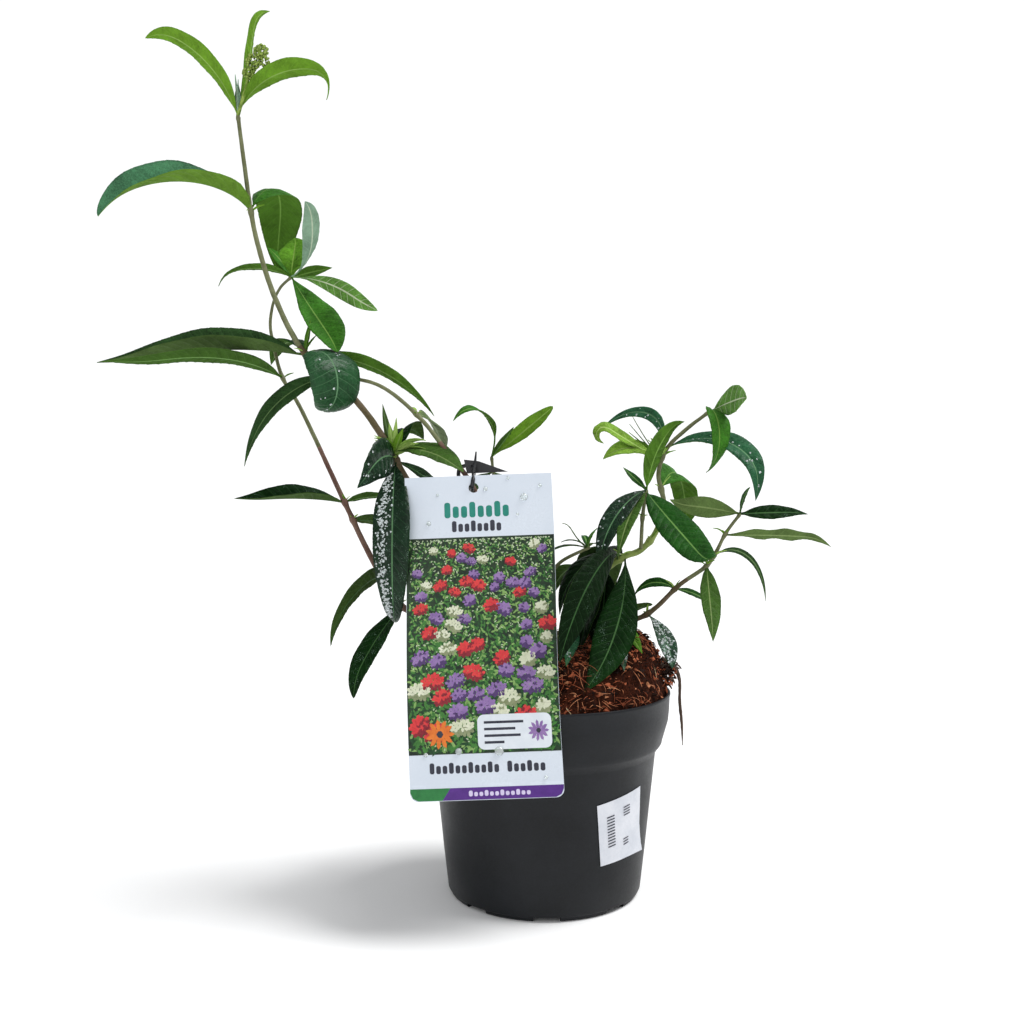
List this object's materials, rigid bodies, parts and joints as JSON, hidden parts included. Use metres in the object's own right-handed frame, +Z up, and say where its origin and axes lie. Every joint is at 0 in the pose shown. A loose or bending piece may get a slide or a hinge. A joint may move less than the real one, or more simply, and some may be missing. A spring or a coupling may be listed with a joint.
{
  "type": "potted butterfly bush",
  "caption": "Young butterfly bush with slender leaning stems and narrow pointed leaves in a round nursery pot, with a hanging plant label.",
  "frame": {"origin": "middle of the pot's flat underside, at the mount base", "axes": "+Z up along the pot's axis; +X to the right as seen from the front, where the label hangs; +Y away from the front"},
  "size_m": [0.4992, 0.189, 0.6027],
  "materials": {
    "pot": "moulded, satin",
    "compost": "loose fibrous compost",
    "bark": "young bark",
    "foliage": "leaves, matt",
    "label": "printed card, gloss",
    "sticker": "paper, matt",
    "tie": "satin"
  },
  "bodies": {
    "root": {"compost": "compost", "crown": "bark", "dry_root": "bark", "foliage_arch": "foliage", "foliage_behind": "foliage", "foliage_bend": "foliage", "foliage_center_back": "foliage", "foliage_crown_back": "foliage", "foliage_crown_bend": "foliage", "foliage_crown_right": "foliage", "foliage_crown_young": "foliage", "foliage_front_left": "foliage", "foliage_front_right": "foliage", "foliage_front_up": "foliage", "foliage_hanging": "foliage", "foliage_label_back": "foliage", "foliage_label_front": "foliage", "foliage_label_left": "foliage", "foliage_label_right": "foliage", "foliage_large": "foliage", "foliage_large_left": "foliage", "foliage_low_arch": "foliage", "foliage_low_left": "foliage", "foliage_low_right": "foliage", "foliage_low_small": "foliage", "foliage_lowest": "foliage", "foliage_main_back": "foliage", "foliage_middle_back": "foliage", "foliage_middle_front": "foliage", "foliage_middle_left": "foliage", "foliage_middle_right": "foliage", "foliage_right_arch": "foliage", "foliage_right_back": "foliage", "foliage_right_hanging": "foliage", "foliage_right_inner": "foliage", "foliage_right_outer": "foliage", "foliage_right_wavy": "foliage", "foliage_second_left": "foliage", "foliage_shoot_low": "foliage", "foliage_shoot_right": "foliage", "foliage_shoot_up": "foliage", "foliage_tip": "foliage", "foliage_top_left": "foliage", "foliage_top_right": "foliage", "foliage_tuft": "foliage", "foliage_upper_back": "foliage", "foliage_upper_left": "foliage", "foliage_wet": "foliage", "fourth_stem": "bark", "front_shoot": "bark", "label": "label", "label_tie": "tie", "low_right_stem": "bark", "main_stem": "bark", "pot": "pot", "right_stem": "bark", "second_stem": "bark", "side_shoot": "bark", "sticker": "sticker", "third_stem": "bark"}
  },
  "joints": []
}
